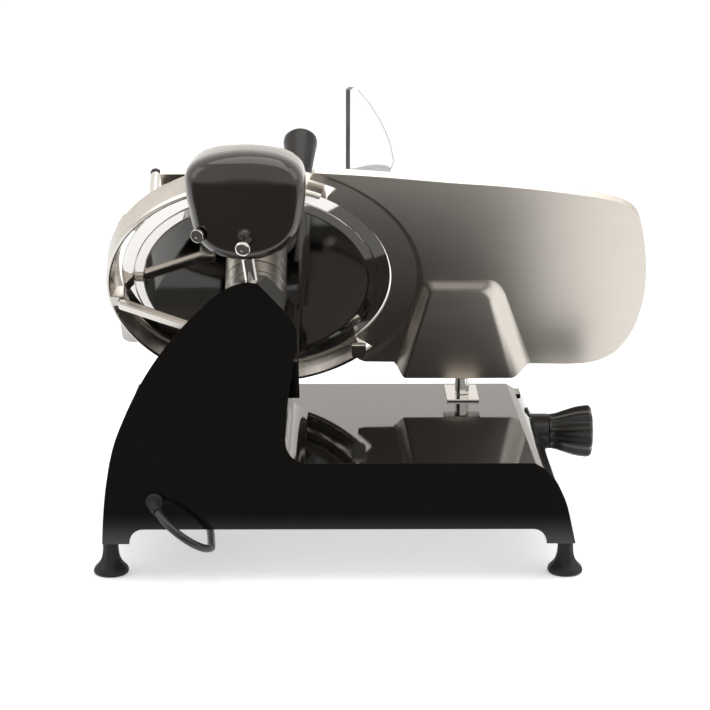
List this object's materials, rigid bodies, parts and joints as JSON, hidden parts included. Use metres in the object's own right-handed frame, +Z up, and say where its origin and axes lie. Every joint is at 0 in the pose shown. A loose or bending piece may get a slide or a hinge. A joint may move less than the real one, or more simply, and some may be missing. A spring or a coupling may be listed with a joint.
{
  "type": "food slicer",
  "caption": "Gravity-feed food slicer with an inclined round blade, ring guard, gauge plate with knob, sliding tray with press, sharpener and mains lead.",
  "frame": {"origin": "on the bench plane under the middle of the machine's box, the mains lead left out", "axes": "+Z up; the base's long front face looks along -Y, where the slices fall; +X is the side with the thickness knob and the switch, where the operator stands"},
  "size_m": [0.506, 0.5026, 0.4165],
  "materials": {
    "black_gloss": "cast aluminium under deep black gloss lacquer",
    "black_plastic": "moulded black plastic",
    "black_rubber": "black rubber",
    "satin_aluminium": "satin anodised aluminium",
    "polished_steel": "polished stainless steel",
    "plain_steel": "plain machined steel",
    "clear_acrylic": "clear acrylic sheet",
    "grey_stone": "grey abrasive",
    "off_button_plastic": "red plastic",
    "on_button_plastic": "green plastic"
  },
  "bodies": {
    "base": {"base_casting": "black_gloss", "bearing_front": "plain_steel", "bearing_rear": "plain_steel", "blade_cover": "satin_aluminium", "blade_guard_ring": "satin_aluminium", "bottom_cover": "plain_steel", "carriage_guide_bar": "polished_steel", "cord_coil": "black_rubber", "cord_gland": "black_rubber", "dial_plate": "black_plastic", "drive_belt": "black_rubber", "foot_front_left": "black_rubber", "foot_front_right": "black_rubber", "foot_rear_left": "black_rubber", "foot_rear_right": "black_rubber", "gauge_guide_rod": "polished_steel", "hub_housing": "satin_aluminium", "motor_body": "plain_steel", "power_cord": "black_rubber", "power_plug": "black_rubber", "ring_support_arm": "satin_aluminium", "sharpener_base": "satin_aluminium", "sharpener_cover": "black_gloss", "sharpener_post": "polished_steel", "slice_deflector": "black_plastic", "switch_housing": "black_plastic"},
    "blade_group": {"blade": "polished_steel", "blade_hub": "satin_aluminium", "blade_screw_1": "plain_steel", "blade_screw_2": "plain_steel", "blade_screw_3": "plain_steel", "blade_shaft": "plain_steel", "blade_pulley": "plain_steel"},
    "motor_rotor": {"motor_pulley": "plain_steel", "motor_shaft": "plain_steel"},
    "gauge": {"gauge_plate": "satin_aluminium", "gauge_post": "polished_steel", "slide_cover_plate": "polished_steel", "gauge_slide_block": "plain_steel"},
    "knob": {"thickness_knob": "black_plastic", "knob_shaft": "polished_steel", "spiral_cam": "plain_steel"},
    "carriage": {"carriage_slide_block": "plain_steel", "carriage_arm": "satin_aluminium", "carriage_tray": "satin_aluminium", "press_rod": "polished_steel", "press_rod_cap": "black_plastic", "carriage_handle": "black_plastic", "hand_guard": "clear_acrylic"},
    "roller": {"carriage_roller": "plain_steel"},
    "press_sleeve": {"press_slider": "black_plastic"},
    "press": {"press_arm": "satin_aluminium", "press_plate": "satin_aluminium", "press_handle": "black_plastic"},
    "grinding_spindle": {"grinding_button": "polished_steel", "grinding_stone": "grey_stone"},
    "deburring_spindle": {"deburring_button": "polished_steel", "deburring_stone": "grey_stone"},
    "on_switch": {"on_button": "on_button_plastic"},
    "off_switch": {"off_button": "off_button_plastic"}
  },
  "joints": [
    {"name": "blade_spin", "type": "hinge", "parent": "base", "child": "blade_group", "pos_m": [-0.11155, -0.03179, 0.2402], "axis": [0, -0.7955, -0.606], "continuous": true},
    {"name": "motor_spin", "type": "hinge", "parent": "base", "child": "motor_rotor", "pos_m": [-0.15655, 0.00578, 0.19088], "axis": [0, -0.7955, -0.606], "continuous": true},
    {"name": "knob_turn", "type": "hinge", "parent": "base", "child": "knob", "pos_m": [-0.11155, 0.00961, 0.0795], "axis": [1, 0, 0], "range_deg": [0, 330]},
    {"name": "gauge_slide", "type": "slide", "parent": "base", "child": "gauge", "axis": [0, -1, 0], "range_m": [0, 0.016]},
    {"name": "carriage_slide", "type": "slide", "parent": "base", "child": "carriage", "axis": [1, 0, 0], "range_m": [0, 0.225]},
    {"name": "roller_spin", "type": "hinge", "parent": "carriage", "child": "roller", "pos_m": [-0.14155, 0.08651, 0.072], "axis": [0, 0, 1], "continuous": true},
    {"name": "press_slide", "type": "slide", "parent": "carriage", "child": "press_sleeve", "axis": [0, 0.7955, 0.606], "range_m": [0, 0.13]},
    {"name": "press_swing", "type": "hinge", "parent": "press_sleeve", "child": "press", "pos_m": [-0.22255, 0.01942, 0.17298], "axis": [0, -0.7955, -0.606], "range_deg": [0, 95]},
    {"name": "grinding_push", "type": "slide", "parent": "base", "child": "grinding_spindle", "axis": [0.218, 0.968, 0.124], "range_m": [0, 0.008], "stiffness_N_per_m": 400, "springref_m": -0.002},
    {"name": "deburring_push", "type": "slide", "parent": "base", "child": "deburring_spindle", "axis": [0.3731, 0.9223, 0.101], "range_m": [0, 0.008], "stiffness_N_per_m": 400, "springref_m": -0.002},
    {"name": "on_push", "type": "slide", "parent": "base", "child": "on_switch", "axis": [-0.9546, -0.0149, -0.2974], "range_m": [0, 0.002], "stiffness_N_per_m": 600, "springref_m": -0.001},
    {"name": "off_push", "type": "slide", "parent": "base", "child": "off_switch", "axis": [-0.9546, -0.0149, -0.2974], "range_m": [0, 0.002], "stiffness_N_per_m": 600, "springref_m": -0.001}
  ],
  "couplings": [
    {"joint": "motor_spin", "follows": "blade_spin", "ratio": 1.8929},
    {"joint": "knob_turn", "follows": "gauge_slide", "rad_per_m": 359.97},
    {"joint": "roller_spin", "follows": "carriage_slide", "rad_per_m": -125}
  ]
}
